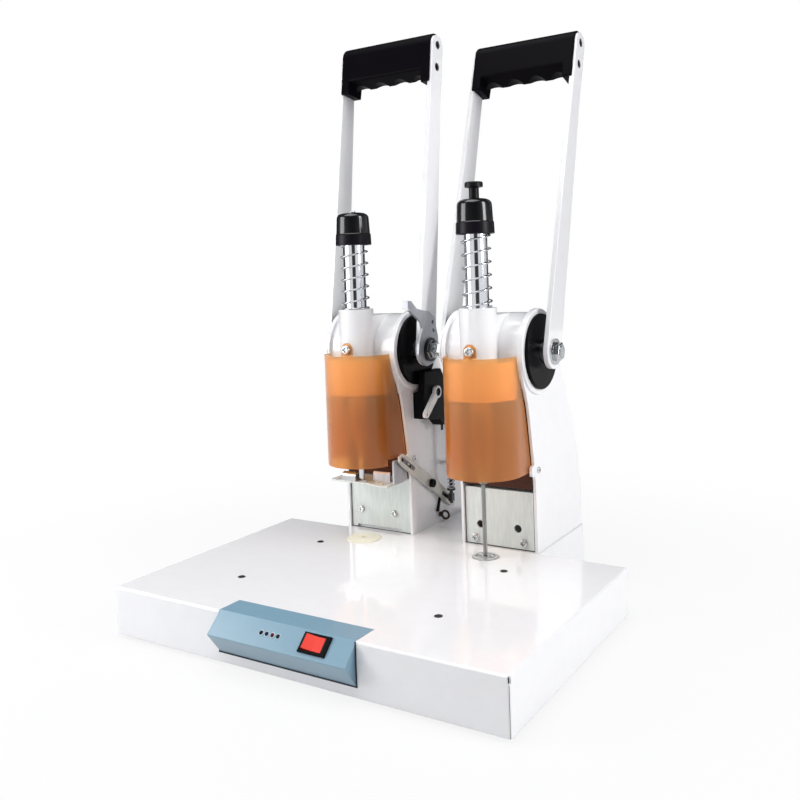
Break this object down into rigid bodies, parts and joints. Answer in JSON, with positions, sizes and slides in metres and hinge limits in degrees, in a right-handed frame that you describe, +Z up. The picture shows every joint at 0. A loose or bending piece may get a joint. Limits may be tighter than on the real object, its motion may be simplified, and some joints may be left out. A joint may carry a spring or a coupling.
{
  "type": "document riveting machine",
  "caption": "Desk machine that drills and rivets paper stacks: table base with control panel, two columns, lever-driven rams with return springs and amber guards.",
  "frame": {"origin": "centre of the bounding box, on the plane the feet rest on", "axes": "+Z up, +X to the operator's right, -Y towards the operator and the control panel"},
  "size_m": [0.42, 0.414, 0.6172],
  "materials": {
    "white_enamel": "smooth semi-gloss",
    "white_arm_enamel": "smooth semi-gloss",
    "panel_plastic": "satin",
    "zinc_plate": "zinc plated, satin",
    "bottom_sheet": "galvanised",
    "black_gloss": "polished",
    "black_satin": "satin",
    "knob_black": "satin over a steel pin",
    "foot_rubber": "matt",
    "amber_shield": "translucent amber",
    "hard_chrome": "polished",
    "turned_steel": "turned",
    "spring_steel": "bright",
    "screw_zinc": "zinc plated",
    "screw_black": "blackened",
    "tool_steel": "ground",
    "heater_brass": "turned",
    "motor_can": "satin",
    "ivory_pad": "satin",
    "pad_ring": "satin",
    "led_lens": "clear tinted",
    "rocker_red": "glossy translucent",
    "core_iron": "varnished laminations"
  },
  "bodies": {
    "base": {"base_cover": "white_enamel", "column_left": "white_enamel", "column_right": "white_enamel", "head_left": "white_enamel", "head_right": "white_enamel", "control_panel": "panel_plastic", "foot_plate_left": "zinc_plate", "foot_plate_right": "zinc_plate", "cutter_bed": "zinc_plate", "bottom_plate": "bottom_sheet", "barrel_discs": "black_satin", "linkage_box": "black_satin", "rocker_frame": "black_satin", "mains_inlet": "black_satin", "feet": "foot_rubber", "shield_left": "amber_shield", "shield_right": "amber_shield", "tube_guide": "turned_steel", "lever_pivot": "turned_steel", "return_spring_left": "spring_steel", "return_spring_right": "spring_steel", "rod_spring": "spring_steel", "pan_screws": "screw_zinc", "column_bolts": "screw_zinc", "table_screws": "screw_black", "rivet_die_pad": "ivory_pad", "drill_pad": "pad_ring", "status_leds": "led_lens", "transformer": "core_iron"},
    "handle_left": {"handle_arms_left": "white_arm_enamel", "grip_left": "black_gloss", "grip_screws_left": "screw_black", "shaft_left": "turned_steel", "shaft_nuts_left": "turned_steel", "pinion_left": "turned_steel", "cam_bracket": "zinc_plate"},
    "handle_right": {"handle_arms_right": "white_arm_enamel", "grip_right": "black_gloss", "grip_screws_right": "screw_black", "shaft_right": "turned_steel", "shaft_nuts_right": "turned_steel", "pinion_right": "turned_steel"},
    "ram_left": {"ram_rod_left": "hard_chrome", "rack_left": "turned_steel", "ram_cap_left": "black_gloss", "cap_screw": "screw_zinc", "riveting_head": "heater_brass", "rivet_punch": "tool_steel"},
    "ram_right": {"ram_rod_right": "hard_chrome", "rack_right": "turned_steel", "ram_cap_right": "black_gloss", "drill_motor": "motor_can"},
    "spindle": {"drill_spindle": "tool_steel"},
    "pin": {"clearing_pin": "knob_black"},
    "rocker": {"rocker_key": "rocker_red"},
    "lever": {"cutter_lever": "zinc_plate"},
    "slide": {"cutter_slide": "zinc_plate"},
    "pull": {"pull_rod": "turned_steel"},
    "crank": {"crank_arm": "zinc_plate"}
  },
  "joints": [
    {"name": "handle_left_swing", "type": "hinge", "parent": "base", "child": "handle_left", "pos_m": [-0.0805, 0.09312, 0.258], "axis": [1, 0, 0], "range_deg": [0, 77.4]},
    {"name": "handle_right_swing", "type": "hinge", "parent": "base", "child": "handle_right", "pos_m": [0.0704, 0.09312, 0.258], "axis": [1, 0, 0], "range_deg": [0, 86]},
    {"name": "ram_left_stroke", "type": "slide", "parent": "base", "child": "ram_left", "axis": [0, 0, -1], "range_m": [0, 0.0379], "stiffness_N_per_m": 1600, "springref_m": -0.035, "deforming": ["return_spring_left"]},
    {"name": "ram_right_stroke", "type": "slide", "parent": "base", "child": "ram_right", "axis": [0, 0, -1], "range_m": [0, 0.0421], "stiffness_N_per_m": 1600, "springref_m": -0.035, "deforming": ["return_spring_right"]},
    {"name": "drill_spin", "type": "hinge", "parent": "ram_right", "child": "spindle", "pos_m": [0.0714, 0.04582, 0.134], "axis": [0, 0, 1], "continuous": true},
    {"name": "clearing_pin_push", "type": "slide", "parent": "ram_right", "child": "pin", "axis": [0, 0, -1], "range_m": [0, 0.01]},
    {"name": "rocker_switch", "type": "hinge", "parent": "base", "child": "rocker", "pos_m": [0.0382, -0.19762, 0.0429], "axis": [0, -0.7331, -0.6801], "range_deg": [0, 18]},
    {"name": "cutter_lever_swing", "type": "hinge", "parent": "base", "child": "lever", "pos_m": [-0.032, 0.11342, 0.1021], "axis": [1, 0, 0], "range_deg": [0, 5.51]},
    {"name": "cutter_slide_stroke", "type": "slide", "parent": "base", "child": "slide", "axis": [0, -1, 0], "range_m": [0, 0.012]},
    {"name": "pull_rod_lift", "type": "slide", "parent": "base", "child": "pull", "axis": [0, 0, 1], "range_m": [0, 0.005], "deforming": ["rod_spring"]},
    {"name": "crank_swing", "type": "hinge", "parent": "base", "child": "crank", "pos_m": [-0.02, 0.11413, 0.2078], "axis": [1, 0, 0], "range_deg": [0, 12]}
  ],
  "couplings": [
    {"joint": "ram_left_stroke", "follows": "handle_left_swing", "m_per_rad": 0.028},
    {"joint": "ram_right_stroke", "follows": "handle_right_swing", "m_per_rad": 0.028},
    {"joint": "cutter_lever_swing", "follows": "handle_left_swing", "ratio": 0.0711},
    {"joint": "cutter_slide_stroke", "follows": "handle_left_swing", "m_per_rad": 0.00888},
    {"joint": "pull_rod_lift", "follows": "handle_left_swing", "m_per_rad": 0.0037},
    {"joint": "crank_swing", "follows": "handle_left_swing", "ratio": 0.155}
  ]
}
